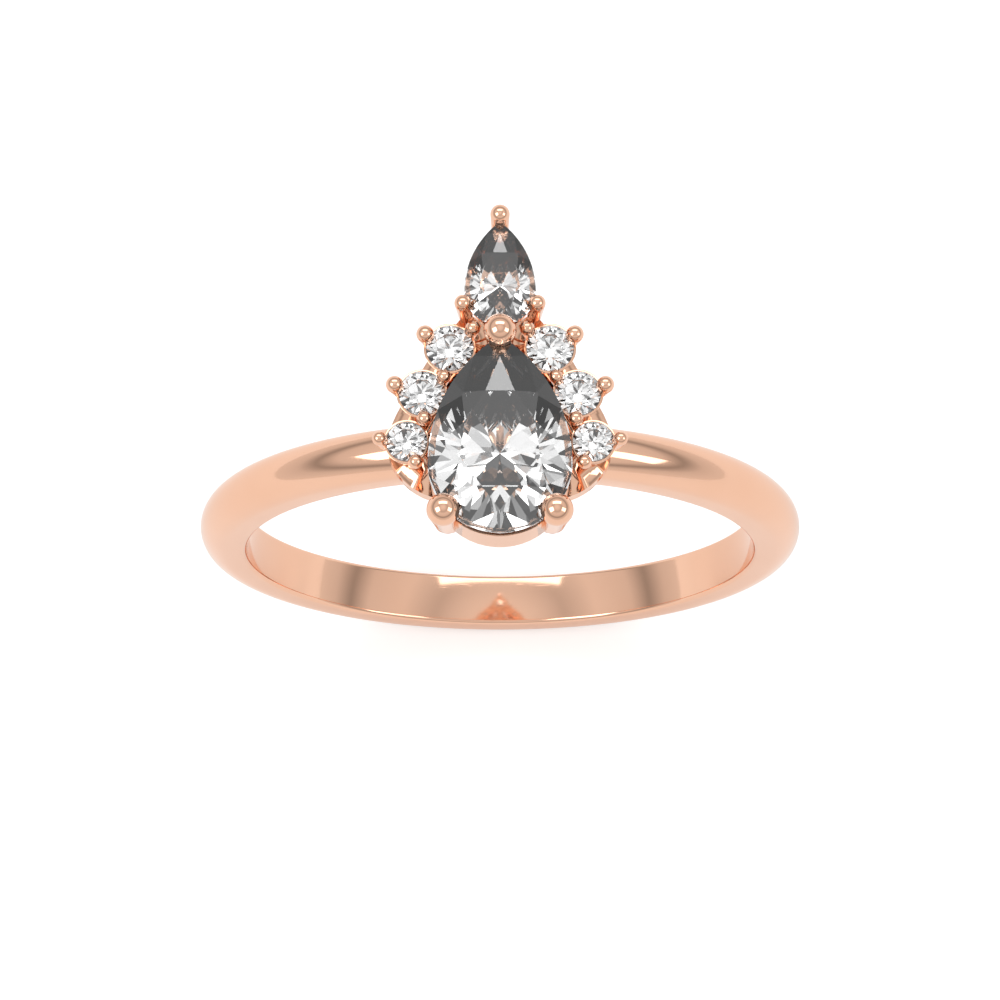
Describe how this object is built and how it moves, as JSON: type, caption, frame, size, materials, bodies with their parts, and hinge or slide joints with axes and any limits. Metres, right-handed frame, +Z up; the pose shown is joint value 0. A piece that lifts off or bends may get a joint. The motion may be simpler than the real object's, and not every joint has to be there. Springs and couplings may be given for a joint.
{
  "type": "engagement ring",
  "caption": "Slim domed rose-gold band with a pear-cut centre stone in claws and a tiara of small round stones and a smaller pear stepping out beyond its point; worn on a finger.",
  "frame": {"origin": "the centre of the finger hole, on the finger's axis, in the middle of the band's width", "axes": "+Y runs along the finger and to the point of the centre stone; +Z runs up to the head; +X runs to the right flank of the head, seen from the round end of the centre stone"},
  "size_m": [0.0204, 0.0112, 0.0236],
  "materials": {
    "rose_gold": "high polish rose gold",
    "diamond": "polished facets, colourless"
  },
  "bodies": {
    "root": {"centre_base_rail": "rose_gold", "centre_gallery_rail": "rose_gold", "centre_prong_left": "rose_gold", "centre_prong_right": "rose_gold", "centre_prong_tip": "rose_gold", "centre_stone": "diamond", "cluster_arm_left": "rose_gold", "cluster_arm_right": "rose_gold", "crown_base_rail": "rose_gold", "crown_bridge": "rose_gold", "crown_gallery_rail": "rose_gold", "crown_prong_left": "rose_gold", "crown_prong_right": "rose_gold", "crown_prong_tip": "rose_gold", "crown_stone": "diamond", "shank": "rose_gold", "side_cup_left_lower": "rose_gold", "side_cup_left_middle": "rose_gold", "side_cup_left_upper": "rose_gold", "side_cup_right_lower": "rose_gold", "side_cup_right_middle": "rose_gold", "side_cup_right_upper": "rose_gold", "side_prong_left_lower_inner": "rose_gold", "side_prong_left_lower_outer": "rose_gold", "side_prong_left_middle_lower": "rose_gold", "side_prong_left_middle_outer": "rose_gold", "side_prong_left_middle_upper": "rose_gold", "side_prong_left_upper_inner": "rose_gold", "side_prong_left_upper_outer": "rose_gold", "side_prong_right_lower_inner": "rose_gold", "side_prong_right_lower_outer": "rose_gold", "side_prong_right_middle_lower": "rose_gold", "side_prong_right_middle_outer": "rose_gold", "side_prong_right_middle_upper": "rose_gold", "side_prong_right_upper_inner": "rose_gold", "side_prong_right_upper_outer": "rose_gold", "side_stone_left_lower": "diamond", "side_stone_left_middle": "diamond", "side_stone_left_upper": "diamond", "side_stone_right_lower": "diamond", "side_stone_right_middle": "diamond", "side_stone_right_upper": "diamond"}
  },
  "joints": []
}
